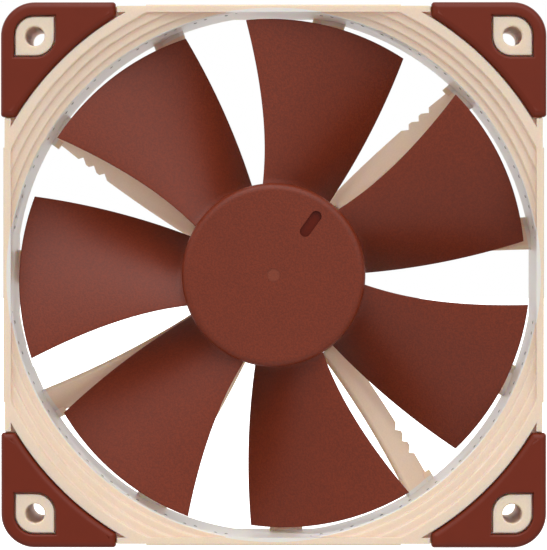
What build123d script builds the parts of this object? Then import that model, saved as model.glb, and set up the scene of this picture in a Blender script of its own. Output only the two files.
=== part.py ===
from build123d import *
import math
import os

# An axial case fan. It is drawn lying down, with its intake side up, and stood upright at
# the end, with the intake side towards -Y. Depths are measured back from the plane of the
# front pads. All lengths are in millimetres and all angles in degrees.

# Overall sizes
side = 120.0  # width and height over the corner pads
depth = 25.0  # over the front and rear pads

# Frame
frame_inset = 0.85  # the pads stand out this far past the frame
rim_wall = 1.35
duct_bulge = 0.7  # the round duct reaches this far past the flat insides of the rims
duct_wall = 1.7
flange_thickness = 2.4
side_land_width = 56.0  # raised middle of each outer side
side_land_height = 0.3
step_count = 3
first_step_width = 1.6
step_width = 1.9
step_height = 0.9
step_round = 0.35
ring_width = 2.4  # top land, outside the last step
rim_edge_round = 0.4
web_thickness = 1.6

# Mounting holes and pads
hole_inset = 7.5
hole_diameter = 4.3
hole_chamfer = 0.25
tube_diameter = 8.8
boss_width = 8.5
boss_round = 4.1
boss_edge_round = 0.3
pad_thickness = 2.2
pad_proud = 0.5  # the pads stand this far in front of and behind the frame
pad_corner_radius = 7.5
pad_arm_length = 25.3  # along each outer side, from the corner
pad_gap = 0.3
pad_edge_round = 1.4
window_edge_round = 0.5
pad_end_round = 0.7
window_gap = 0.35

# Stator vanes and motor base
vane_angles = [6.6, 41.1, 75.0, 111.5, 143.4, 175.5, 207.5, 239.0, 270.0, 302.0, 333.0]
vane_thickness = 1.5
vane_rise_root = 5.3  # axial height of a vane where it meets the base
vane_rise_tip = 7.0
vane_width = 5.6  # across the flow at its widest, as seen along the axis
vane_front_bow = 0.0025  # curve of the front edge, per millimetre squared
vane_front_peak = 37.5  # radius at which the front edge lies furthest round
vane_rear_bow = 0.0017
vane_rear_peak = 43.5
vane_camber = 0.5
vane_sections = 5
notch_radii = [44.5, 47.5, 50.5]
notch_depth = 1.05
notch_inner = 1.35  # the notch's width towards the base
notch_outer = 0.85  # and towards the duct
foot_radius = 56.2  # from here out a foot widens the vane's rear edge
foot_width = 1.05
foot_height = 2.4
base_margin = 0.4  # the base reaches this far past the hub
base_height = 3.6
base_floor = 1.6
base_rim = 1.2
base_edge_round = 0.5
label_recess = 0.2
label_inset = 2.4
label_thickness = 0.15
cable_slot_width = 5.0
cable_slot_depth = 2.0
cable_vane = 6  # the lead's way out lies behind this vane
cable_turn = 9.0  # from the vane's angle back to the way out

# Impeller
hub_radius = 20.25
hub_edge_round = 1.6
hub_recess = 0.8  # behind the plane of the front pads
hub_wall = 1.3
hub_face = 1.6
hub_base_gap = 0.6
hub_side_gap = 0.6
slot_length = 6.5
slot_width = 2.4
slot_depth = 0.9
slot_radius = 13.9
slot_angle = 54.0
gate_diameter = 2.9
gate_depth = 0.15
blade_count = 7
tip_gap = 1.3
blade_thickness = 1.7
blade_edge_thickness = 0.8
blade_root_depth = 0.8  # how far a blade's root reaches into the hub wall
lead_depth_root = 4.0
lead_depth_tip = 3.0
trail_gap_root = 1.0  # axial gap to the vanes
trail_gap_tip = 1.6
trail_angle_root = 0.9
trail_sweep = 6.7
lead_angle = 39.0
lead_sweep = 5.7
lead_hook = 6.4  # the leading edge curls forward near the hub
lead_hook_length = 0.22
blade_camber = 0.35

# Bearing and shaft
shaft_diameter = 3.0
running_clearance = 0.03  # radial, in the sleeve
wide_clearance = 0.5  # radial, in rings that only surround the shaft
axial_gap = 0.3
shell_radius = 4.4
shell_wall = 1.0
shell_skin = 0.8  # base left under the shell
socket_wall = 1.4
thrust_thickness = 1.0
clip_thickness = 0.5
clip_radius = 2.6
groove_depth = 0.4
stabiliser_height = 1.4
seal_thickness = 1.0
shell_lip = 0.6
bushing_radius = 3.6
bushing_gap = 0.8

# Rotor magnet and stator
yoke_thickness = 1.0
yoke_setback = 0.5
magnet_thickness = 2.2
magnet_inset = 1.2
magnet_setback = 0.8
air_gap = 0.4
core_height = 7.5
pole_count = 4
pole_arc = 78.0
pole_depth = 1.6
arm_width = 4.6
core_ring_wall = 1.5
insulator_thickness = 0.7
insulator_lip = 0.9
coil_thickness = 1.8
coil_gap = 0.4
collar_height = 1.6
lip_height = 2.4

# Circuit board
board_thickness = 1.0
board_standoff = 0.6
board_gap = 0.2
standoff_radius = 1.2
pin_radius = 0.35
pin_stub = 0.4
pin_angle = 30.0  # of the first pin
part_height = 0.8
component_size = (1.6, 0.8)  # length and width
component_places = [(9.5, 60), (12.5, 78), (16.5, 135), (9.5, 150), (17.0, 220), (11.0, 240), (16.0, 315)]
sensor_size = (3.0, 1.6)
sensor_angle = 0.0
driver_size = (4.0, 3.2)
driver_radius = 14.0
driver_angle = 180.0

# Levels along the axis, worked out from the sizes above
pad_front = depth / 2
frame_front = pad_front - pad_proud
frame_rear = -frame_front
floor_front = pad_front - pad_thickness
land_level = [frame_front - step_height * (step_count - i) for i in range(step_count)]
base_front = frame_rear + base_height
floor_top = frame_rear + base_floor
hub_front = pad_front - hub_recess
hub_rear = base_front + hub_base_gap
cup_top = hub_front - hub_face
board_rear = floor_top + board_standoff
board_front = board_rear + board_thickness
yoke_rear = hub_rear + yoke_setback
yoke_inner_top = cup_top - yoke_thickness
magnet_top = yoke_inner_top - magnet_inset
magnet_rear = hub_rear + magnet_setback
core_rear = (magnet_top + magnet_rear - core_height) / 2
core_top = core_rear + core_height
shell_rear = frame_rear + shell_skin
thrust_top = shell_rear + thrust_thickness
shaft_rear = thrust_top + axial_gap
clip_rear = shaft_rear + clip_thickness
clip_top = clip_rear + clip_thickness
stabiliser_rear = clip_top + clip_thickness
stabiliser_top = stabiliser_rear + stabiliser_height
shell_top = core_top + collar_height
seal_top = shell_top - shell_lip
seal_rear = seal_top - seal_thickness

# Radii and half widths
frame_half = side / 2 - frame_inset
rim_half = frame_half - rim_wall
pad_arm_start = side / 2 - pad_arm_length
duct_radius = rim_half + duct_bulge
riser_radius = [duct_radius + first_step_width + step_width * i for i in range(step_count)]
ring_radius = riser_radius[-1] + ring_width
hole_place = side / 2 - hole_inset
tip_radius = rim_half - tip_gap
cup_radius = hub_radius - hub_wall
magnet_outer = cup_radius - yoke_thickness
magnet_inner = magnet_outer - magnet_thickness
core_radius = magnet_inner - air_gap
core_ring_radius = shell_radius + core_ring_wall
shell_bore = shell_radius - shell_wall
shaft_radius = shaft_diameter / 2
base_radius = hub_radius + base_margin
base_inner = base_radius - base_rim
board_radius = base_inner - board_gap
board_bore = shell_radius + socket_wall + board_gap
coil_half_width = arm_width / 2 + coil_thickness
coil_outer = math.sqrt((core_radius - pole_depth - coil_gap) ** 2 - coil_half_width ** 2)
coil_inner = core_ring_radius + coil_gap

quarter_turns = [90 * i for i in range(4)]
tiny = 1.0  # how far a cutter runs past the face it cuts


def slab(sketch, rear, front):
    return Pos(0, 0, rear) * extrude(sketch, front - rear)


def disc(radius, rear, front):
    return slab(Circle(radius), rear, front)


def tube(outer, inner, rear, front):
    return slab(Circle(outer) - Circle(inner), rear, front)


def turned(shape, angle):
    return Rot(0, 0, angle) * shape


# A square with the corner towards the fan's corner and the one towards its centre rounded
def leaf(width, radius):
    square = Rectangle(width, width)
    ends = [corner for corner in square.vertices() if corner.X * corner.Y > 0]
    return Pos(hole_place, hole_place) * fillet(ends, radius)


def rounded_square(half, radius):
    return RectangleRounded(2 * half, 2 * half, radius)


# What stands up from the front flange between the pads: the ring, the rims and the hole bosses
def flange_top(rear, front):
    outline = rounded_square(frame_half, pad_corner_radius - frame_inset)
    rim = Pos(0, frame_half) * Rectangle(2 * (pad_arm_start - pad_gap), 2 * rim_wall)
    raised = Circle(ring_radius)
    for angle in quarter_turns:
        raised += turned(rim, angle)
    top = slab(raised & outline, rear, front)
    boss = slab(leaf(boss_width, boss_round), rear, front)
    boss = fillet(boss.edges().group_by(Axis.Z)[-1], boss_edge_round)
    for angle in quarter_turns:
        top += turned(boss, angle)
    return top


def frame_shell():
    plate = rounded_square(frame_half, pad_corner_radius - frame_inset)
    waist = Circle(duct_radius + duct_wall) & Rectangle(2 * frame_half, 2 * frame_half)
    flange_rear = floor_front - flange_thickness
    body = slab(waist, frame_rear, frame_front)
    for face, back in ((floor_front, flange_rear), (-flange_rear, -floor_front)):
        body += slab(plate, back, face)
    raised = flange_top(floor_front, frame_front)
    body += raised + mirror(raised, Plane.XY)
    web_length = hole_place * math.sqrt(2) - duct_radius
    for angle in quarter_turns:
        column = Pos(hole_place, hole_place) * disc(tube_diameter / 2, -floor_front, floor_front)
        body += turned(column, angle)
        web = Pos(duct_radius + web_length / 2, 0) * Rectangle(web_length, web_thickness)
        body += slab(turned(web, angle + 45), -floor_front, floor_front)
    land_half = frame_half + side_land_height
    land = Box(side_land_width, 2 * land_half, frame_front - frame_rear)
    land = fillet(land.edges().filter_by(Axis.X), rim_edge_round)
    land -= Box(side_land_width, 2 * (frame_half - rim_wall / 2), frame_front - frame_rear)
    for angle in quarter_turns[:2]:
        body += turned(land, angle)
    return body


# The duct's bore and the rounded steps of its inlet, cut flat by the insides of the rims
def duct_cutter():
    stairs = [(duct_radius, land_level[0])]
    for radius, level in zip(riser_radius, land_level[1:] + [frame_front]):
        stairs += [(radius, stairs[-1][1]), (radius, level)]
    outline = [(0, frame_rear - tiny), (duct_radius, frame_rear - tiny), *stairs,
               (ring_radius, frame_front), (ring_radius, frame_front + tiny), (0, frame_front + tiny)]
    profile = Polygon(*outline, align=None)
    treads = [v for v in profile.vertices() if v.X > duct_radius - tiny / 2 and v.X < ring_radius - tiny
              and v.Y > land_level[0] - tiny / 2]
    profile = fillet(treads, step_round)
    flats = Rectangle(2 * rim_half, 2 * rim_half)
    return revolve(Plane.XZ * profile, Axis.Z) & slab(flats, frame_rear - 2 * tiny, frame_front + 2 * tiny)


def hole_cutter():
    radius = hole_diameter / 2
    bore = disc(radius, frame_rear - tiny, frame_front + tiny)
    flare = Cone(radius, radius + hole_chamfer, hole_chamfer, align=(Align.CENTER, Align.CENTER, Align.MIN))
    bore += Pos(0, 0, frame_front - hole_chamfer) * flare
    bore += Pos(0, 0, frame_rear + hole_chamfer) * (Rot(180, 0, 0) * flare)
    return Pos(hole_place, hole_place, 0) * bore


# Offsets of a vane's front and rear edges from the line it stands on
def vane_edges(radius):
    front = -vane_front_bow * (radius - vane_front_peak) ** 2
    rear = vane_width - vane_rear_bow * (radius - vane_rear_peak) ** 2
    return front, rear


# A vane's section, across a radius: X runs along the turning, Y along the axis
def vane_section(radius, rise):
    half = vane_thickness / 2
    front_edge, rear_edge = vane_edges(radius)
    front = Vector(front_edge + half, frame_rear + rise - half)
    rear = Vector(rear_edge - half, frame_rear + half)
    chord = rear - front
    turn = 2 * math.degrees(math.atan(2 * vane_camber / chord.length))
    along = [chord.normalized().rotate(Axis.Z, angle) for angle in (turn, -turn)]
    across = [direction.rotate(Axis.Z, 90) for direction in along]
    crown = front + chord / 2 + chord.normalized().rotate(Axis.Z, 90) * vane_camber
    lift = chord.normalized().rotate(Axis.Z, 90) * half
    upper = ThreePointArc(front + across[0] * half, crown + lift, rear + across[1] * half)
    tail = ThreePointArc(upper @ 1, rear + along[1] * half, rear - across[1] * half)
    lower = ThreePointArc(tail @ 1, crown - lift, front - across[0] * half)
    nose = ThreePointArc(lower @ 1, front - along[0] * half, upper @ 0)
    plane = Plane(origin=(radius, 0, 0), x_dir=(0, 1, 0), z_dir=(1, 0, 0))
    return plane * make_face(upper + tail + lower + nose)


def vane():
    start = base_radius - base_rim / 2
    end = duct_radius + duct_wall / 2
    top = frame_rear + vane_rise_tip
    sections = []
    for index in range(vane_sections):
        share = index / (vane_sections - 1)
        rise = vane_rise_root + (vane_rise_tip - vane_rise_root) * share
        sections.append(vane_section(start + (end - start) * share, rise))
    blade = loft(sections)
    for radius in notch_radii:
        edge = vane_edges(radius)[1]
        tooth = Polygon((radius - notch_inner, edge + tiny), (radius - notch_inner, edge),
                        (radius, edge - notch_depth), (radius + notch_outer, edge),
                        (radius + notch_outer, edge + tiny), align=None)
        blade -= slab(tooth, frame_rear - tiny, top)
    # Keeps the vane's root clear of the turning hub
    blade -= disc(hub_radius + hub_side_gap, base_front, top)
    outside = vane_edges(foot_radius)[1] + foot_width
    foot = Rectangle(end - foot_radius, foot_width + vane_thickness, align=(Align.MIN, Align.MAX))
    return blade + slab(Pos(foot_radius, outside) * foot, frame_rear, frame_rear + foot_height)


def motor_base():
    base = disc(base_radius, frame_rear, base_front)
    base = fillet(base.edges().group_by(Axis.Z)[0], base_edge_round)
    base -= disc(base_inner, floor_top, base_front + tiny)
    base += disc(shell_radius + socket_wall, floor_top, board_front)
    for angle in range(0, 360, 120):
        post = disc(standoff_radius, floor_top, board_rear)
        base += turned(Pos(board_radius - 2 * standoff_radius, 0, 0) * post, angle)
    base -= disc(shell_radius, shell_rear, base_front + tiny)
    base -= disc(base_radius - label_inset, frame_rear - tiny, frame_rear + label_recess)
    return base


# Gaps in the base's rim and in the frame's rear edge that the motor's lead passes through
def cable_way():
    rim_gap = slab(Rectangle(4 * base_rim, cable_slot_width), floor_top, base_front + tiny)
    edge = Rectangle(8 * duct_wall, cable_slot_width)
    edge_gap = slab(edge, frame_rear - tiny, frame_rear + cable_slot_depth)
    gaps = Pos(base_radius, 0, 0) * rim_gap + Pos(duct_radius + duct_wall, 0, 0) * edge_gap
    return turned(gaps, vane_angles[cable_vane] - cable_turn)


def frame():
    body = frame_shell() - duct_cutter()
    for angle in quarter_turns:
        body -= turned(hole_cutter(), angle)
    inside = Rectangle(2 * rim_half + rim_wall, 2 * rim_half + rim_wall) & Circle(duct_radius + duct_wall / 2)
    single = vane()
    for angle in vane_angles:
        body += turned(single, angle) & slab(inside, frame_rear, floor_front)
    body += motor_base()
    return body - cable_way()


# A rubber pad for the front corner at +X and +Y
def corner_pad():
    quarter = Pos(pad_arm_start, pad_arm_start) * Rectangle(side, side, align=Align.MIN)
    sketch = rounded_square(side / 2, pad_corner_radius) - Circle(ring_radius + pad_gap)
    sketch = sketch & quarter
    ends = [v for v in sketch.vertices() if min(v.X, v.Y) < pad_arm_start + pad_gap]
    sketch = fillet(ends, pad_end_round)
    pad = slab(sketch, floor_front, pad_front)
    pad = fillet(pad.edges().group_by(Axis.Z)[-1], pad_edge_round)
    window = leaf(boss_width + 2 * window_gap, boss_round + window_gap)
    pad -= slab(window, floor_front - tiny, pad_front + tiny)
    front_edges = pad.edges().group_by(Axis.Z)[-1]
    mouth = front_edges.sort_by_distance((hole_place, hole_place, pad_front))[:len(window.edges())]
    return fillet(mouth, window_edge_round)


# Depth of a blade at a share of its span and a share of its chord from the leading edge
def blade_point(span, chord, offset):
    root = hub_radius - blade_root_depth - tiny
    end = tip_radius + tiny
    radius = root + (end - root) * span
    reach = (radius - hub_radius) / (tip_radius - hub_radius)
    trail = trail_angle_root + trail_sweep * reach
    lead = lead_angle + lead_sweep * reach + lead_hook * math.exp(-reach / lead_hook_length)
    front = pad_front - lead_depth_root + (lead_depth_root - lead_depth_tip) * reach
    rear_root = frame_rear + vane_rise_root + trail_gap_root
    rear_tip = frame_rear + vane_rise_tip + trail_gap_tip
    rear = rear_root + (rear_tip - rear_root) * reach
    fall = chord + blade_camber * (chord * chord - chord)
    thickness = blade_edge_thickness + (blade_thickness - blade_edge_thickness) * 4 * chord * (1 - chord)
    angle = math.radians(lead + (trail - lead) * chord)
    level = front + (rear - front) * fall + offset * thickness
    return radius * math.cos(angle), radius * math.sin(angle), level


def blade():
    spans = [i / 10 for i in range(11)]
    chords = [i / 10 for i in range(11)]
    upper, lower = [
        Face.make_surface_from_array_of_points(
            [[blade_point(span, chord, offset) for chord in chords] for span in spans],
            tol=1e-3, min_deg=3, max_deg=5)
        for offset in (1, 0)
    ]
    walls = []
    for edge in upper.edges():
        middle = edge @ 0.5
        other = min(lower.edges(), key=lambda candidate: (candidate @ 0.5 - middle).length)
        walls.append(Face.make_surface_from_curves(edge, other))
    solid = Solid(Shell([upper, lower, *walls]))
    span_ring = tube(tip_radius, hub_radius - blade_root_depth, frame_rear, pad_front)
    return solid & span_ring


def impeller():
    hub = disc(hub_radius, hub_rear, hub_front)
    hub = fillet(hub.edges().group_by(Axis.Z)[-1], hub_edge_round)
    hub -= disc(cup_radius, hub_rear - tiny, cup_top)
    slot = Pos(slot_radius, 0) * SlotOverall(slot_length, slot_width)
    hub -= slab(turned(slot, slot_angle), hub_front - slot_depth, hub_front + tiny)
    hub -= disc(gate_diameter / 2, hub_front - gate_depth, hub_front + tiny)
    single = blade()
    for index in range(blade_count):
        hub += turned(single, index * 360 / blade_count)
    return hub


def shaft():
    body = disc(shaft_radius, shaft_rear, cup_top)
    body -= tube(shaft_radius + tiny, shaft_radius - groove_depth, clip_rear, clip_top)
    return chamfer(body.edges().group_by(Axis.Z)[0], groove_depth / 2)


# Outline of the stator core, as seen along the axis, for the core and its insulators
def core_outline(bore, ring, arm, outer):
    shape = Circle(ring)
    lamination_ring = Circle(outer) - Circle(outer - pole_depth)
    half_arc = pole_arc / 2
    reach = 2 * core_radius
    wedge = Polygon((0, 0), (reach, -reach * math.tan(math.radians(half_arc))),
                    (reach, reach * math.tan(math.radians(half_arc))), align=None)
    for index in range(pole_count):
        angle = index * 360 / pole_count
        shape += turned(Pos(outer / 2, 0) * Rectangle(outer - pole_depth / 2, arm), angle)
        shape += lamination_ring & turned(wedge, angle)
    return (shape - Circle(bore)) & Circle(outer)


def insulator(rear, front, collar_end, lip_end):
    plate = slab(core_outline(shell_radius, core_ring_radius, arm_width, core_radius), rear, front)
    ends = sorted([(rear + front) / 2, collar_end])
    collar = tube(core_ring_radius, shell_radius, *ends)
    lip_ring = Circle(core_radius - insulator_lip / 2) - Circle(core_radius - insulator_lip * 1.5)
    lips = lip_ring & core_outline(shell_radius, core_ring_radius, arm_width, core_radius)
    return plate + collar + slab(lips, *sorted([(rear + front) / 2, lip_end]))


# One winding, round one arm of the core and its insulators
def coil():
    inside_height = core_height + 2 * insulator_thickness
    corner = coil_thickness * 0.9
    outline = RectangleRounded(2 * coil_half_width, inside_height + 2 * coil_thickness, corner)
    window = Rectangle(arm_width, inside_height)
    start = (coil_inner, 0, (core_rear + core_top) / 2)
    plane = Plane(origin=start, x_dir=(0, 1, 0), z_dir=(1, 0, 0))
    return extrude(plane * (outline - window), coil_outer - coil_inner)


def terminal_pins():
    place = core_radius - pole_depth / 2
    pin = Pos(place, 0, 0) * disc(pin_radius, board_rear - pin_stub, core_rear - lip_height)
    return [turned(pin, pin_angle + 360 * index / pole_count) for index in range(pole_count)]


def circuit_board():
    board = tube(board_radius, board_bore, board_rear, board_front)
    for pin in terminal_pins():
        board -= pin
    return board


# A small box that stands on the circuit board
def board_part(radius, angle, size):
    length, width = size
    box = Pos(radius, 0, board_front + part_height / 2) * Box(width, length, part_height)
    return turned(box, angle)


def board_parts():
    return [board_part(radius, angle, component_size) for radius, angle in component_places]


def gather(pieces):
    return Compound(children=[solid for piece in pieces for solid in piece.solids()])


def rotor_yoke():
    wall = tube(cup_radius, magnet_outer, yoke_rear, cup_top)
    return wall + tube(cup_radius, bushing_radius, yoke_inner_top, cup_top)


def sub_parts():
    pieces = {
        "frame": frame(),
        "impeller": impeller(),
        "rotor_yoke": rotor_yoke(),
        "ring_magnet": tube(magnet_outer, magnet_inner, magnet_rear, magnet_top),
        "shaft": shaft(),
        "shaft_bushing": tube(bushing_radius, shaft_radius, shell_top + bushing_gap, cup_top),
        "retaining_clip": tube(clip_radius, shaft_radius - groove_depth, clip_rear, clip_top),
        "bearing_shell": tube(shell_radius, shell_bore, shell_rear, shell_top),
        "bearing_sleeve": tube(shell_bore, shaft_radius + running_clearance, stabiliser_top, seal_rear),
        "oil_seal": tube(shell_bore, shaft_radius + wide_clearance, seal_rear, seal_top),
        "stabiliser_magnet": tube(shell_bore, shaft_radius + wide_clearance, stabiliser_rear, stabiliser_top),
        "thrust_pad": disc(shell_bore, shell_rear, thrust_top),
        "stator_core": slab(core_outline(shell_radius, core_ring_radius, arm_width, core_radius),
                            core_rear, core_top),
        "front_insulator": insulator(core_top, core_top + insulator_thickness,
                                     core_top + collar_height, core_top + lip_height),
        "rear_insulator": insulator(core_rear - insulator_thickness, core_rear,
                                    board_front, core_rear - lip_height),
        "circuit_board": circuit_board(),
        "hall_sensor": board_part((magnet_inner + magnet_outer) / 2, sensor_angle, sensor_size),
        "driver_chip": board_part(driver_radius, driver_angle, driver_size),
        "board_components": gather(board_parts()),
        "terminal_pins": gather(terminal_pins()),
        "rear_label": disc(base_radius - label_inset - board_gap, frame_rear + label_recess - label_thickness,
                           frame_rear + label_recess),
    }
    for index in range(pole_count):
        pieces[f"coil_{index + 1}"] = turned(coil(), index * 360 / pole_count)
    pad = corner_pad()
    rear_pad = mirror(pad, Plane.XY)
    for name, angle in zip(("top_right", "top_left", "bottom_left", "bottom_right"), quarter_turns):
        pieces[f"front_pad_{name}"] = turned(pad, angle)
        pieces[f"rear_pad_{name}"] = turned(rear_pad, angle)
    return pieces


os.makedirs("parts", exist_ok=True)
for node, shape in sub_parts().items():
    upright = Rot(90, 0, 0) * shape
    export_step(upright, f"parts/{node}.step")
    print(node, len(upright.solids()), round(upright.volume, 1))
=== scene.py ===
import math
import bmesh
import bpy
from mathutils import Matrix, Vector


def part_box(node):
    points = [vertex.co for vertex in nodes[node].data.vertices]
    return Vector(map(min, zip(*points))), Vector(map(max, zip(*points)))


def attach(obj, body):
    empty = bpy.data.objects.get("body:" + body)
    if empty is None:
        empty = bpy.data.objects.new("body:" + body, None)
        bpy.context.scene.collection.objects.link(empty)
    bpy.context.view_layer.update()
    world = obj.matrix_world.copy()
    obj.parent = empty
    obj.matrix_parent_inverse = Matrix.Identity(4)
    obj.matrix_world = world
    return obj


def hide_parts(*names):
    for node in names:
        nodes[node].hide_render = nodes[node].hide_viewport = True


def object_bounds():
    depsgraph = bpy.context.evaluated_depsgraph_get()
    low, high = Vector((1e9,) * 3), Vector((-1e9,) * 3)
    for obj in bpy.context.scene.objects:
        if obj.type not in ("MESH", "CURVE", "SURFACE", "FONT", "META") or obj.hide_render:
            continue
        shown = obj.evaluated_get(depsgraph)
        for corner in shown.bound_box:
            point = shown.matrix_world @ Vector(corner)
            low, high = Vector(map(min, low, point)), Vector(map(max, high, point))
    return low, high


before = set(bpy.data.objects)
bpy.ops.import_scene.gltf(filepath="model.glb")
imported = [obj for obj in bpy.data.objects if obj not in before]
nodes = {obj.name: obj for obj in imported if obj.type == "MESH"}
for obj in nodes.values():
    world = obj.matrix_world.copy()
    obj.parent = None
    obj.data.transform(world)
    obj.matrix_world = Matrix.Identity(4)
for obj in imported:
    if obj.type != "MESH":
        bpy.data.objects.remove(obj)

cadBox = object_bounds()
mm = 0.001
fullTurn = 2 * math.pi
print("frame loaded:", len(nodes), "nodes")

# Places and sizes that come from the frame
frontPlane = cadBox[0].y  # front face of the corner pads
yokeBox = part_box("rotor_yoke")
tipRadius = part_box("impeller")[1].z


def linear(hexColour):
    # sRGB hex to linear RGBA
    channels = [int(hexColour[i:i + 2], 16) / 255 for i in (1, 3, 5)]
    return tuple(c / 12.92 if c <= 0.04045 else ((c + 0.055) / 1.055) ** 2.4 for c in channels) + (1.0,)


def addNode(tree, kind, inputs=(), **settings):
    # Adds one node. inputs are values or sockets, in a dictionary by name or index, or in order.
    node = tree.nodes.new(kind)
    for name, value in settings.items():
        setattr(node, name, value)
    pairs = inputs.items() if isinstance(inputs, dict) else enumerate(inputs)
    for key, value in pairs:
        if isinstance(value, bpy.types.NodeSocket):
            tree.links.new(value, node.inputs[key])
        else:
            node.inputs[key].default_value = value
    return node


def newPiece(name, data):
    piece = bpy.data.objects.new(name, data)
    bpy.context.scene.collection.objects.link(piece)
    return piece


def meshData(name, mesh):
    # A finished bmesh as mesh data, with its faces pointing outwards
    bmesh.ops.recalc_face_normals(mesh, faces=mesh.faces)
    data = bpy.data.meshes.new(name)
    mesh.to_mesh(data)
    mesh.free()
    return data


def newMaterial(name):
    material = bpy.data.materials.new(name)
    material.use_nodes = True
    tree = material.node_tree
    tree.nodes.clear()
    shader = addNode(tree, "ShaderNodeBsdfPrincipled")
    addNode(tree, "ShaderNodeOutputMaterial", {"Surface": shader.outputs[0]})
    place = addNode(tree, "ShaderNodeTexCoord").outputs["Object"]
    return material, tree, shader, place


# Taken by every grained surface whose own values don't say otherwise
plainGrain = {"patchDetail": 3.0, "grainDetail": 2.0, "grainSharpness": 0.5, "bumpMm": 0.05}


def grainedSurface(tree, shader, place, tones, values):
    # Broad patches drift between two tones, and a fine grain breaks up the sheen
    values = {**plainGrain, **values}
    patches = addNode(tree, "ShaderNodeTexNoise", {
        "Vector": place, "Scale": 1 / (values["patchMm"] * mm), "Detail": values["patchDetail"]}).outputs[0]
    colour = addNode(tree, "ShaderNodeMix", {0: patches, 6: tones[0], 7: tones[1]}, data_type="RGBA").outputs[2]
    fine = addNode(tree, "ShaderNodeTexNoise", {
        "Vector": place, "Scale": 1 / (values["grainMm"] * mm), "Detail": values["grainDetail"],
        "Roughness": values["grainSharpness"]}).outputs[0]
    rough = addNode(tree, "ShaderNodeMapRange", {
        0: fine, 3: values["roughness"] - values["smoother"], 4: values["roughness"] + values["rougher"]}).outputs[0]
    bump = addNode(tree, "ShaderNodeBump", {
        "Height": fine, "Strength": values["bump"], "Distance": values["bumpMm"] * mm}).outputs[0]
    tree.links.new(colour, shader.inputs["Base Color"])
    tree.links.new(rough, shader.inputs["Roughness"])
    tree.links.new(bump, shader.inputs["Normal"])
    return colour, fine, rough


# The texture that the mould leaves has grains of about 0.1 mm. They are drawn at 0.3 mm and more, so that they show.
mouldTexture = {"grainDetail": 3.0, "grainSharpness": 0.6, "smoother": 0.07, "rougher": 0.09,
                "speckleFrom": 0.4, "speckleTo": 0.6}
mouldedPlastic = {
    # PBT: warm and slightly translucent, with a soft sheen
    "frame": {"colour": "#efd9c5", "shade": "#ead3bc", "roughness": 0.52, "ior": 1.42, "grainMm": 0.35, "bump": 0.15,
              "speckle": 0.02, "patchMm": 14.0, "softness": 0.45, "warmDepth": (3.0, 1.8, 0.55),
              # the bore band's pale grey-white colour is a painted reflection of the white backdrop
              "boreMm": (57.6, 58.75), "boreRoughness": 0.38, "borePaintedReflection": "#e6e2dc"},
    # Fibre-filled polymer: dark and matt, speckled by the fibres under its skin
    "impeller": {"colour": "#77290a", "shade": "#702508", "roughness": 0.44, "ior": 1.44, "grainMm": 0.42, "bump": 0.8,
                 "speckle": 0.15, "patchMm": 7.0, "softness": 0.0, "warmDepth": (1.0, 0.2, 0.1)},
    # The bore's beads: the same PBT, painted a darker grey than the bore as painted shade, so they show as dark
    # specks; smooth enough to catch a glint
    "bead": {"colour": "#a9a59c", "shade": "#9c988f", "roughness": 0.35, "ior": 1.5, "grainMm": 0.3, "bump": 0.05,
             "speckle": 0.05, "patchMm": 3.0, "softness": 0.1, "warmDepth": (1.0, 0.6, 0.3)},
    # The scar where the gate broke off: a little paler and rougher
    "gate": {"colour": "#803315", "shade": "#7b2f12", "roughness": 0.5, "ior": 1.5, "grainMm": 0.4, "bump": 0.5,
             "speckle": 0.08, "patchMm": 3.0, "softness": 0.0, "warmDepth": (1.0, 0.2, 0.1)},
    # The slot in the hub's face: left smooth by a polished pin, and painted darker as painted shade in the recess
    "recess": {"colour": "#661a05", "shade": "#611804", "roughness": 0.3, "ior": 1.3, "grainMm": 0.6, "bump": 0.05,
               "speckle": 0.03, "patchMm": 7.0, "softness": 0.0, "warmDepth": (1.0, 0.2, 0.1)},
}


def boreGlossAndPaintedReflection(tree, shader, place, colour, rough, values):
    # The bore comes off a polished core, so it is smoother than the outside. Its colour is also mixed to grey-white
    # there: a painted reflection of the white backdrop
    parts = addNode(tree, "ShaderNodeSeparateXYZ", [place]).outputs
    flat = addNode(tree, "ShaderNodeCombineXYZ", [parts[0], 0.0, parts[2]]).outputs[0]
    radius = addNode(tree, "ShaderNodeVectorMath", [flat], operation="LENGTH").outputs["Value"]
    low, high = (bound * mm for bound in values["boreMm"])
    inside = addNode(tree, "ShaderNodeMath", [radius, high], operation="LESS_THAN").outputs[0]
    beyond = addNode(tree, "ShaderNodeMath", [radius, low], operation="GREATER_THAN").outputs[0]
    band = addNode(tree, "ShaderNodeMath", [inside, beyond], operation="MULTIPLY").outputs[0]
    smooth = addNode(tree, "ShaderNodeMix", {0: band, 2: rough, 3: values["boreRoughness"]})
    # painted reflection: the bore band's colour is mixed towards pale grey-white, in place of the backdrop it reflects
    paintedBoreTint = addNode(tree, "ShaderNodeMix", {0: band, 6: colour, 7: linear(values["borePaintedReflection"])}, data_type="RGBA")
    tree.links.new(smooth.outputs[0], shader.inputs["Roughness"])
    tree.links.new(paintedBoreTint.outputs[2], shader.inputs["Base Color"])


def mouldedPolymer(name, values):
    # Injection-moulded polymer with a fine spark-eroded texture: a soft broad sheen, no mirror
    values = {**mouldTexture, **values}
    material, tree, shader, place = newMaterial(name)
    tones = linear(values["colour"]), linear(values["shade"])
    colour, fine, rough = grainedSurface(tree, shader, place, tones, values)
    speckle = addNode(tree, "ShaderNodeMapRange", {
        0: fine, 1: values["speckleFrom"], 2: values["speckleTo"], 3: 1 - values["speckle"],
        4: 1 + values["speckle"]}).outputs[0]
    colour = addNode(tree, "ShaderNodeVectorMath", {0: colour, "Scale": speckle}, operation="SCALE").outputs[0]
    tree.links.new(colour, shader.inputs["Base Color"])
    if "boreMm" in values:
        boreGlossAndPaintedReflection(tree, shader, place, colour, rough, values)
    shader.inputs["IOR"].default_value = values["ior"]
    shader.inputs["Subsurface Weight"].default_value = values["softness"]
    shader.inputs["Subsurface Radius"].default_value = values["warmDepth"]
    shader.inputs["Subsurface Scale"].default_value = mm
    return material


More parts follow.
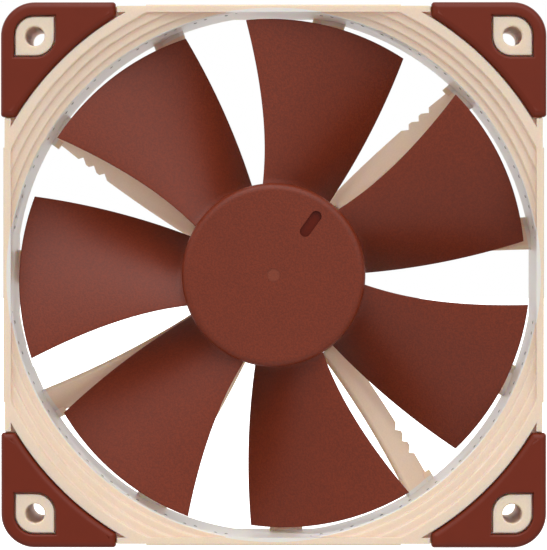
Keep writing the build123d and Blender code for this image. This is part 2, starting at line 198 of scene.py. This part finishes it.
siliconeSizes = {"colour": "#73240b", "shade": "#6b2109", "roughness": 0.36, "smoother": 0.05, "rougher": 0.05,
                 "ior": 1.36, "grainMm": 0.5, "bump": 0.2, "patchMm": 5.0, "patchDetail": 2.0}


def siliconeRubber():
    # Moulded silicone rubber: satin, slightly soft-edged highlights
    material, tree, shader, place = newMaterial("siliconeRubber")
    tones = linear(siliconeSizes["colour"]), linear(siliconeSizes["shade"])
    grainedSurface(tree, shader, place, tones, siliconeSizes)
    shader.inputs["IOR"].default_value = siliconeSizes["ior"]
    return material


innerTexture = {"smoother": 0.08, "rougher": 0.08, "bump": 0.15, "bumpMm": 0.03, "patchGrains": 6, "wornTone": 0.78}
innerFinishes = {
    "yoke_steel": {"metal": True, "colour": "#a9aaac", "roughness": 0.34, "grainMm": 1.2},
    "shaft_steel": {"metal": True, "colour": "#bcbdc1", "roughness": 0.18, "grainMm": 0.6},
    "bearing_brass": {"metal": True, "colour": "#c9a456", "roughness": 0.28, "grainMm": 0.8},
    "sleeve_bronze": {"metal": True, "colour": "#a07448", "roughness": 0.5, "grainMm": 0.3},
    "magnet_ferrite": {"metal": False, "colour": "#2b2928", "roughness": 0.62, "grainMm": 0.3},
    "core_steel": {"metal": True, "colour": "#7d8085", "roughness": 0.36, "grainMm": 0.5},
    "insulator_nylon": {"metal": False, "colour": "#e6e3db", "roughness": 0.45, "grainMm": 0.5},
    "coil_copper": {"metal": True, "colour": "#b4623a", "roughness": 0.3, "grainMm": 0.4},
    "board_laminate": {"metal": False, "colour": "#1f5a36", "roughness": 0.35, "grainMm": 0.7},
    "chip_epoxy": {"metal": False, "colour": "#18191b", "roughness": 0.55, "grainMm": 0.3},
    "component_ceramic": {"metal": False, "colour": "#9c8c74", "roughness": 0.4, "grainMm": 0.3},
    "pin_tin": {"metal": True, "colour": "#c8c6bf", "roughness": 0.33, "grainMm": 0.3},
    "label_foil": {"metal": True, "colour": "#bfc1c3", "roughness": 0.36, "grainMm": 0.2},
}


def innerFinish(slot, values):
    # Plain working finishes of the motor's pieces: an uneven sheen and a slightly worn tone
    material, tree, shader, place = newMaterial(slot)
    full = linear(values["colour"])
    worn = tuple(innerTexture["wornTone"] * channel for channel in full[:3]) + (1.0,)
    patchMm = innerTexture["patchGrains"] * values["grainMm"]
    grainedSurface(tree, shader, place, (full, worn), {**innerTexture, **values, "patchMm": patchMm})
    shader.inputs["Metallic"].default_value = 1.0 if values["metal"] else 0.0
    return material


framePlastic = mouldedPolymer("mouldedPbt", mouldedPlastic["frame"])
impellerPlastic = mouldedPolymer("fibreFilledPolymer", mouldedPlastic["impeller"])
# the beads' material is painted darker than the bore: painted shade
beadPaintedShadePlastic = mouldedPolymer("beadPbtWithPaintedShade", mouldedPlastic["bead"])
gatePlastic = mouldedPolymer("gateScar", mouldedPlastic["gate"])
recessPaintedShadePlastic = mouldedPolymer("smoothRecessPaintedShade", mouldedPlastic["recess"])
silicone = siliconeRubber()
finishes = {slot: innerFinish(slot, values) for slot, values in innerFinishes.items()}
finishes.update({"frame_pbt": framePlastic, "impeller_polymer": impellerPlastic, "pad_silicone": silicone})
for node in nodes.values():
    for materialSlot in node.material_slots:
        materialSlot.material = finishes[materialSlot.material.name.split(".")[0]]
print("materials made")


def newTree(name, values):
    # A Geometry Nodes tree with a named input for each size. Its input sockets come back by name.
    tree = bpy.data.node_groups.new(name, "GeometryNodeTree")
    for direction in ("INPUT", "OUTPUT"):
        tree.interface.new_socket("Geometry", in_out=direction, socket_type="NodeSocketGeometry")
    for label, value in values.items():
        kind = "NodeSocketInt" if isinstance(value, int) else "NodeSocketFloat"
        tree.interface.new_socket(label, in_out="INPUT", socket_type=kind)
    return tree, {socket.name: socket for socket in addNode(tree, "NodeGroupInput").outputs}


def addSteps(tree, known, steps):
    # Each step is a result, an operation and its values, which are numbers or the names of known sockets.
    # BLEND is a straight line from its second value at 0 to its third at 1.
    for result, operation, *values in steps:
        values = [known.get(value, value) for value in values]
        if operation == "BLEND":
            node = addNode(tree, "ShaderNodeMapRange", dict(zip((0, 3, 4), values)), clamp=False)
        else:
            node = addNode(tree, "ShaderNodeMath", values, operation=operation)
        known[result] = node.outputs[0]


def endTree(tree, shape, material):
    smooth = addNode(tree, "GeometryNodeSetShadeSmooth", {"Geometry": shape}).outputs[0]
    dressed = addNode(tree, "GeometryNodeSetMaterial", {"Geometry": smooth, "Material": material})
    addNode(tree, "NodeGroupOutput", [dressed.outputs[0]])


def bake(piece):
    # Leaves the piece as a plain mesh, with its modifiers gone
    depsgraph = bpy.context.evaluated_depsgraph_get()
    data = bpy.data.meshes.new_from_object(piece.evaluated_get(depsgraph))
    piece.modifiers.clear()
    piece.data = data


def growTree(piece, tree, values):
    # Runs the tree on the piece with these sizes, and bakes the result
    modifier = piece.modifiers.new(tree.name, "NODES")
    modifier.node_group = tree
    for item in tree.interface.items_tree:
        if item.in_out == "INPUT" and item.name in values:
            modifier[item.identifier] = values[item.name]
    bake(piece)


def markCreases(data, degrees):
    # Smooth shading with a hard edge wherever two faces meet at more than this angle
    mesh = bmesh.new()
    mesh.from_mesh(data)
    for face in mesh.faces:
        face.smooth = True
    for edge in mesh.edges:
        edge.smooth = edge.is_manifold and edge.calc_face_angle() < math.radians(degrees)
    mesh.to_mesh(data)
    mesh.free()


# In millimetres, apart from the whole numbers, which are counts and degrees
hubShape = {
    "edgeRound": 1.6, "wall": 1.3, "face": 1.6, "setBack": 0.8, "skirtPastYoke": 0.5, "softEdge": 0.12,
    "gateRadius": 1.45, "gateDepth": 0.15, "slotRadius": 13.9, "slotDegrees": 54, "slotLength": 6.5,
    "slotWidth": 2.4, "slotDepth": 0.9, "slotEndSteps": 12, "slotSideSlack": 0.01, "slotMouthSlack": 0.05,
    "arcSteps": 10, "turnSteps": 192, "creaseDegrees": 20,
}
hubLengths = {name: value * mm for name, value in hubShape.items() if isinstance(value, float)}


def arc(centre, radius, startDegrees, endDegrees, steps):
    for step in range(steps + 1):
        angle = math.radians(startDegrees + (endDegrees - startDegrees) * step / steps)
        yield centre[0] + radius * math.cos(angle), centre[1] + radius * math.sin(angle)


def lathe(name, profile, steps):
    # Turns a profile of (radius, height) points round the fan's axis; height counts towards -Y.
    # Points on the axis become single poles.
    mesh = bmesh.new()
    rings = []
    for radius, height in profile:
        if radius == 0:
            rings.append([mesh.verts.new((0, -height, 0))])
            continue
        rings.append([mesh.verts.new((radius * math.cos(fullTurn * i / steps), -height,
                                      radius * math.sin(fullTurn * i / steps))) for i in range(steps)])
    for first, second in zip(rings, rings[1:]):
        for i in range(steps):
            a, b = first[i % len(first)], first[(i + 1) % len(first)]
            c, d = second[(i + 1) % len(second)], second[i % len(second)]
            corners = list(dict.fromkeys((a, b, c, d)))
            if len(corners) > 2:
                mesh.faces.new(corners)
    return newPiece(name, meshData(name, mesh))


def makeSlotCutter(hubFront):
    # A slot-shaped block, laid radially through the hub's face
    size = hubLengths
    endRadius = size["slotWidth"] / 2
    endPlace = size["slotLength"] / 2 - endRadius
    outline = list(arc((endPlace, 0), endRadius, -90, 90, hubShape["slotEndSteps"]))
    outline += arc((-endPlace, 0), endRadius, 90, 270, hubShape["slotEndSteps"])
    turn = math.radians(hubShape["slotDegrees"])
    mesh = bmesh.new()
    rings = []
    for level in (hubFront - size["slotDepth"], hubFront + size["slotDepth"]):
        ring = []
        for x, y in outline:
            x += size["slotRadius"]
            ring.append(mesh.verts.new((x * math.cos(turn) - y * math.sin(turn), -level,
                                        x * math.sin(turn) + y * math.cos(turn))))
        rings.append(ring)
        mesh.faces.new(ring)
    for i in range(len(outline)):
        j = (i + 1) % len(outline)
        mesh.faces.new((rings[0][i], rings[0][j], rings[1][j], rings[1][i]))
    return newPiece("slotCutter", meshData("slotCutter", mesh))


def makeHub():
    size = hubLengths
    front = -(frontPlane + size["setBack"])
    rear = -(yokeBox[1].y + size["skirtPastYoke"])
    inner = yokeBox[1].x
    outer = inner + size["wall"]
    cupTop = front - size["face"]
    r, soft, gate = size["edgeRound"], size["softEdge"], size["gateRadius"]
    floor = front - size["gateDepth"]
    profile = [(0, floor), (gate - soft, floor), (gate, floor), (gate, front), (gate + soft, front),
               (outer - r - soft, front)]
    profile += arc((outer - r, front - r), r, 90, 0, hubShape["arcSteps"])
    profile += [(outer, front - r - soft), (outer, rear + soft), (outer - soft, rear), (inner + soft, rear),
                (inner, rear + soft), (inner, cupTop), (0, cupTop)]
    hub = lathe("hub", profile, hubShape["turnSteps"])
    cutter = makeSlotCutter(front)
    cut = hub.modifiers.new("slot", "BOOLEAN")
    cut.operation = "DIFFERENCE"
    cut.solver = "EXACT"
    cut.object = cutter
    return hub, cutter


bladeShape = {
    "Count": 7, "Root Radius": 19.45, "Hub Radius": 20.25, "Thickness": 1.7, "Edge Thickness": 0.8,
    "Lead Depth Root": 4.0, "Lead Depth Tip": 3.0, "Trail Depth Root": 18.2, "Trail Depth Tip": 15.9,
    "Trail Angle": 0.9, "Trail Sweep": 6.7, "Lead Angle": 39.0, "Lead Sweep": 5.7, "Lead Hook": 6.4,
    "Hook Length": 0.22, "Camber": 0.35, "Root Flare": 1.0, "Flare Length": 0.6, "Edge Squareness": 0.3,
    "Tip Overrun": 1.04, "Root Crowding": 1.5, "Tip Rounds From": 0.955, "Merge Distance": 0.002,
    "Loop Points": 72, "Span Points": 48,
}
bladeLengths = ("Root Radius", "Hub Radius", "Thickness", "Edge Thickness", "Lead Depth Root", "Lead Depth Tip",
                "Trail Depth Root", "Trail Depth Tip", "Root Flare", "Flare Length", "Merge Distance")

# u runs round the blade's section and v out along its span, both from 0 to 1
bladeSteps = (
    ("u", "ADD", "gridX", 0.5),
    ("v", "ADD", "gridY", 0.5),
    # chord is 0 at the leading edge and 1 at the trailing one; facing is 1 in front and -1 behind
    ("turn", "MULTIPLY", "u", fullTurn),
    ("cosine", "COSINE", "turn"),
    ("chord", "MULTIPLY_ADD", "cosine", -0.5, 0.5),
    ("sine", "SINE", "turn"),
    ("side", "SIGN", "sine"),
    ("fat", "ABSOLUTE", "sine"),
    ("fat", "POWER", "fat", "Edge Squareness"),
    ("facing", "MULTIPLY", "side", "fat"),
    # the points crowd towards the root and stop at the tip, where cap rounds the blade off
    ("spread", "MULTIPLY", "v", "Tip Overrun"),
    ("spread", "MINIMUM", "spread", 1.0),
    ("spread", "POWER", "spread", "Root Crowding"),
    ("radius", "BLEND", "spread", "Root Radius", "Tip Radius"),
    ("pastStart", "SUBTRACT", "v", "Tip Rounds From"),
    ("capLength", "SUBTRACT", 1.0, "Tip Rounds From"),
    ("cap", "DIVIDE", "pastStart", "capLength"),
    ("cap", "SUBTRACT", 1.0, "cap"),
    ("cap", "MAXIMUM", "cap", 0.0),
    ("cap", "MINIMUM", "cap", 1.0),
    ("cap", "POWER", "cap", 0.5),
    # reach is 0 at the hub and 1 at the tip; the leading edge hooks forward near the hub
    ("pastHub", "SUBTRACT", "radius", "Hub Radius"),
    ("bladeLength", "SUBTRACT", "Tip Radius", "Hub Radius"),
    ("reach", "DIVIDE", "pastHub", "bladeLength"),
    ("trail", "MULTIPLY_ADD", "reach", "Trail Sweep", "Trail Angle"),
    ("hook", "MULTIPLY", "reach", -1.0),
    ("hook", "DIVIDE", "hook", "Hook Length"),
    ("hook", "EXPONENT", "hook"),
    ("lead", "MULTIPLY_ADD", "reach", "Lead Sweep", "Lead Angle"),
    ("lead", "MULTIPLY_ADD", "hook", "Lead Hook", "lead"),
    ("front", "BLEND", "reach", "Lead Depth Root", "Lead Depth Tip"),
    ("rear", "BLEND", "reach", "Trail Depth Root", "Trail Depth Tip"),
    # the section bows, thickens in its middle and flares out into the hub
    ("bow", "MULTIPLY", "chord", "chord"),
    ("bow", "SUBTRACT", "bow", "chord"),
    ("fall", "MULTIPLY_ADD", "bow", "Camber", "chord"),
    ("depth", "BLEND", "fall", "front", "rear"),
    ("fullness", "MULTIPLY", "bow", -4.0),
    ("thickness", "BLEND", "fullness", "Edge Thickness", "Thickness"),
    ("flare", "MAXIMUM", "pastHub", 0.0),
    ("flare", "MULTIPLY", "flare", -1.0),
    ("flare", "DIVIDE", "flare", "Flare Length"),
    ("flare", "EXPONENT", "flare"),
    ("half", "MULTIPLY_ADD", "flare", "Root Flare", "thickness"),
    ("half", "MULTIPLY", "half", 0.5),
    ("offset", "MULTIPLY", "facing", "cap"),
    ("offset", "MULTIPLY", "offset", "half"),
    ("inset", "MULTIPLY", "thickness", 0.5),
    ("level", "SUBTRACT", "depth", "inset"),
    ("level", "SUBTRACT", "level", "offset"),
    ("level", "ADD", "level", "Front Level"),
    ("angle", "BLEND", "chord", "lead", "trail"),
    ("angle", "RADIANS", "angle"),
    ("bladeStep", "DIVIDE", -fullTurn, "Count"),
    ("bladeTurn", "MULTIPLY", "index", "bladeStep"),
)


def bladeTree(values, material):
    # One blade is a grid closed into a rounded loop, and the others are turned copies of it
    tree, known = newTree("bladeRing", values)
    grid = addNode(tree, "GeometryNodeMeshGrid", {"Size X": 1.0, "Size Y": 1.0, "Vertices X": known["Loop Points"],
                                                  "Vertices Y": known["Span Points"]})
    position = addNode(tree, "GeometryNodeInputPosition").outputs[0]
    known["gridX"], known["gridY"] = addNode(tree, "ShaderNodeSeparateXYZ", [position]).outputs[:2]
    known["index"] = addNode(tree, "GeometryNodeInputIndex").outputs[0]
    addSteps(tree, known, bladeSteps)

    flat = addNode(tree, "ShaderNodeCombineXYZ", [known["radius"], known["level"], 0.0]).outputs[0]
    curved = addNode(tree, "ShaderNodeVectorRotate", {"Vector": flat, "Axis": (0, -1, 0), "Angle": known["angle"]},
                     rotation_type="AXIS_ANGLE").outputs[0]
    shaped = addNode(tree, "GeometryNodeSetPosition", {"Geometry": grid.outputs["Mesh"], "Position": curved})
    closed = addNode(tree, "GeometryNodeMergeByDistance", {"Geometry": shaped.outputs[0],
                                                           "Distance": known["Merge Distance"]})
    points = addNode(tree, "GeometryNodePoints", {"Count": known["Count"]})
    spin = addNode(tree, "ShaderNodeCombineXYZ", [0.0, known["bladeTurn"], 0.0]).outputs[0]
    ring = addNode(tree, "GeometryNodeInstanceOnPoints", {"Points": points.outputs[0],
                                                          "Instance": closed.outputs[0], "Rotation": spin})
    real = addNode(tree, "GeometryNodeRealizeInstances", [ring.outputs[0]])
    both = addNode(tree, "GeometryNodeJoinGeometry")
    tree.links.new(real.outputs[0], both.inputs[0])
    tree.links.new(known["Geometry"], both.inputs[0])
    endTree(tree, both.outputs[0], material)
    return tree


def dressRecess(data):
    # The slot in the hub's face has a smoother finish, painted darker as painted shade, and the gate's scar a paler
    # one
    data.materials.append(recessPaintedShadePlastic)
    data.materials.append(gatePlastic)
    recess, scar = len(data.materials) - 2, len(data.materials) - 1
    size = hubLengths
    turn = math.radians(hubShape["slotDegrees"])
    mouth = frontPlane + size["setBack"] + size["slotMouthSlack"]
    for face in data.polygons:
        x, y, z = face.center
        along = abs(x * math.cos(turn) + z * math.sin(turn) - size["slotRadius"])
        across = abs(z * math.cos(turn) - x * math.sin(turn))
        if (along < size["slotLength"] / 2 + size["slotSideSlack"]
                and across < size["slotWidth"] / 2 + size["slotSideSlack"] and mouth < y < mouth + size["slotDepth"]):
            # painted shade: the slot's faces take the darker recess material
            face.material_index = recess
        elif math.hypot(x, z) < size["gateRadius"] and y < mouth + size["gateDepth"]:
            face.material_index = scar


def makeImpeller():
    impeller, cutter = makeHub()
    values = {name: value * mm if name in bladeLengths else value for name, value in bladeShape.items()}
    values.update({"Tip Radius": tipRadius, "Front Level": frontPlane})
    growTree(impeller, bladeTree(values, impellerPlastic), values)
    impeller.name = "impeller_moulding"
    markCreases(impeller.data, hubShape["creaseDegrees"])
    dressRecess(impeller.data)
    bpy.data.objects.remove(cutter)
    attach(impeller, "rotor")
    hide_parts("impeller")
    print("impeller:", len(impeller.data.polygons), "faces")


makeImpeller()

padShape = {"creaseDegrees": 28, "mergeMm": 0.03}


def makePads():
    # Each pad is a joined, smoothly shaded copy of its solid, in silicone
    for name, node in list(nodes.items()):
        if not name.startswith(("front_pad", "rear_pad")):
            continue
        mesh = bmesh.new()
        mesh.from_mesh(node.data)
        bmesh.ops.remove_doubles(mesh, verts=mesh.verts, dist=padShape["mergeMm"] * mm)
        data = meshData("silicone_" + name, mesh)
        data.materials.append(silicone)
        markCreases(data, padShape["creaseDegrees"])
        pad = newPiece("silicone_" + name, data)
        even = pad.modifiers.new("evenShading", "WEIGHTED_NORMAL")
        even.keep_sharp = True
        bake(pad)
        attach(pad, "housing")
        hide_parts(name)


makePads()
print("pads made")

beadShape = {"Pairs": 52, "Segments": 8, "Rings": 5, "Bore Radius": 58.5, "Bead Length": 0.42, "Bead Height": 0.2,
             "First Row": 5.2, "Second Row": 7.4, "Pair Turn": 2.35, "Start Turn": 1.1}
beadLengths = ("Bore Radius", "Bead Length", "Bead Height", "First Row", "Second Row")


def beadTree(values, material):
    # Pairs of small moulded beads round the bore, in two rows at different depths
    tree, known = newTree("boreBeads", values)
    ball = addNode(tree, "GeometryNodeMeshUVSphere", {"Segments": known["Segments"], "Rings": known["Rings"],
                                                      "Radius": 1.0}).outputs["Mesh"]
    size = addNode(tree, "ShaderNodeCombineXYZ", [known["Bead Height"], known["Bead Length"],
                                                  known["Bead Length"]]).outputs[0]
    bead = addNode(tree, "GeometryNodeTransform", {"Geometry": ball, "Scale": size}).outputs[0]
    joined = addNode(tree, "GeometryNodeJoinGeometry")
    known["index"] = addNode(tree, "GeometryNodeInputIndex").outputs[0]
    for row, shift in (("First Row", 0.0), ("Second Row", "Pair Turn")):
        addSteps(tree, known, (
            ("pairStep", "DIVIDE", 360.0, "Pairs"),
            ("angle", "MULTIPLY_ADD", "index", "pairStep", "Start Turn"),
            ("angle", "ADD", "angle", shift),
            ("angle", "RADIANS", "angle"),
            ("turn", "MULTIPLY", "angle", -1.0),
            ("x", "COSINE", "angle"),
            ("x", "MULTIPLY", "x", "Bore Radius"),
            ("z", "SINE", "angle"),
            ("z", "MULTIPLY", "z", "Bore Radius"),
            ("level", "ADD", "Front Level", row),
        ))
        spin = addNode(tree, "ShaderNodeCombineXYZ", [0.0, known["turn"], 0.0]).outputs[0]
        spot = addNode(tree, "ShaderNodeCombineXYZ", [known["x"], known["level"], known["z"]]).outputs[0]
        points = addNode(tree, "GeometryNodePoints", {"Count": known["Pairs"], "Position": spot}).outputs[0]
        ring = addNode(tree, "GeometryNodeInstanceOnPoints", {"Points": points, "Instance": bead, "Rotation": spin})
        tree.links.new(ring.outputs[0], joined.inputs[0])
    real = addNode(tree, "GeometryNodeRealizeInstances", [joined.outputs[0]])
    endTree(tree, real.outputs[0], material)
    return tree


def makeBeads():
    beads = newPiece("bore_beads", bpy.data.meshes.new("bore_beads"))
    values = {name: value * mm if name in beadLengths else value for name, value in beadShape.items()}
    values["Front Level"] = frontPlane
    growTree(beads, beadTree(values, beadPaintedShadePlastic), values)
    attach(beads, "housing")
    print("bore beads:", len(beads.data.polygons), "faces")


makeBeads()

# Each light is the direction that it comes from and its strength
skyLobes = {
    "front": ((0, -1, 0), 0.12), "frontUp": ((0, -1, 1), 1.28), "frontDown": ((0, -1, -1), 0.62),
    "frontLeft": ((-1, -1, 0), 0.06), "frontRight": ((1, -1, 0), 0.13), "up": ((0, 0, 1), 0.55),
    "down": ((0, 0, -1), 0.3), "left": ((-1, 0, 0), 0.75), "right": ((1, 0, 0), 0.25),
    "upLeft": ((-1, -1, 1), 0.85), "upRight": ((1, -1, 1), 1.3), "downLeft": ((-1, -1, -1), 0.42),
    "downRight": ((1, -1, -1), 0.5),
}
skyPanels = {"overheadPanel": ((-0.2, -0.3, 1), 3.6)}
skyShape = {"lobeTightness": 6.0, "panelTightness": 45.0, "whiteFrom": 0.2, "whiteFull": 0.6}


def studioSky(tree):
    # A white backdrop behind the fan, and broad soft panels round it, each a smooth lobe of light
    direction = addNode(tree, "ShaderNodeTexCoord").outputs["Generated"]
    depth = addNode(tree, "ShaderNodeSeparateXYZ", [direction]).outputs[1]
    total = addNode(tree, "ShaderNodeMapRange", {0: depth, 1: skyShape["whiteFrom"], 2: skyShape["whiteFull"]},
                    interpolation_type="SMOOTHSTEP").outputs[0]
    for lights, tightness in ((skyLobes, skyShape["lobeTightness"]), (skyPanels, skyShape["panelTightness"])):
        for towards, strength in lights.values():
            facing = addNode(tree, "ShaderNodeVectorMath", [direction, Vector(towards).normalized()],
                             operation="DOT_PRODUCT").outputs["Value"]
            facing = addNode(tree, "ShaderNodeMath", [facing, 0.0], operation="MAXIMUM").outputs[0]
            lobe = addNode(tree, "ShaderNodeMath", [facing, tightness], operation="POWER").outputs[0]
            total = addNode(tree, "ShaderNodeMath", [lobe, strength, total], operation="MULTIPLY_ADD").outputs[0]
    background = addNode(tree, "ShaderNodeBackground", {"Color": total, "Strength": 1.0})
    addNode(tree, "ShaderNodeOutputWorld", [background.outputs[0]])


paper = {"colour": "#ffffff", "glow": 1.0, "roughness": 0.9}


def whitePaper():
    # Matt white paper, lit so evenly that nothing on it shows but white
    material, tree, shader, place = newMaterial("whitePaper")
    shader.inputs["Base Color"].default_value = linear(paper["colour"])
    shader.inputs["Emission Color"].default_value = linear(paper["colour"])
    shader.inputs["Emission Strength"].default_value = paper["glow"]
    shader.inputs["Roughness"].default_value = paper["roughness"]
    return material


stage = {"floorSize": 8.0, "floorDrop": 0.02 * mm, "cameraDistance": 0.700, "cameraRight": 4.5 * mm,
         "cameraUp": 4.5 * mm, "framedWidth": 120.8 * mm, "sensor": 36.0}


def makeStage():
    half = stage["floorSize"] / 2
    level = cadBox[0].z - stage["floorDrop"]
    floorMesh = bpy.data.meshes.new("floor")
    floorMesh.from_pydata([(-half, -half, level), (half, -half, level), (half, half, level), (-half, half, level)],
                          [], [(0, 1, 2, 3)])
    floorMesh.materials.append(whitePaper())
    floor = newPiece("floor", floorMesh)
    floor.visible_diffuse = False
    floor.visible_glossy = False
    floor.visible_shadow = False

    world = bpy.data.worlds.new("studio")
    bpy.context.scene.world = world
    world.use_nodes = True
    world.node_tree.nodes.clear()
    studioSky(world.node_tree)

    lens = bpy.data.cameras.new("camera")
    lens.sensor_width = stage["sensor"]
    lens.lens = stage["sensor"] * stage["cameraDistance"] / stage["framedWidth"]
    camera = newPiece("camera", lens)
    target = Vector((0, frontPlane, 0))
    camera.location = target + Vector((stage["cameraRight"], -stage["cameraDistance"], stage["cameraUp"]))
    camera.rotation_euler = (target - camera.location).to_track_quat("-Z", "Y").to_euler()
    bpy.context.scene.camera = camera
    bpy.context.scene.view_settings.view_transform = "Standard"


makeStage()
print("stage made")
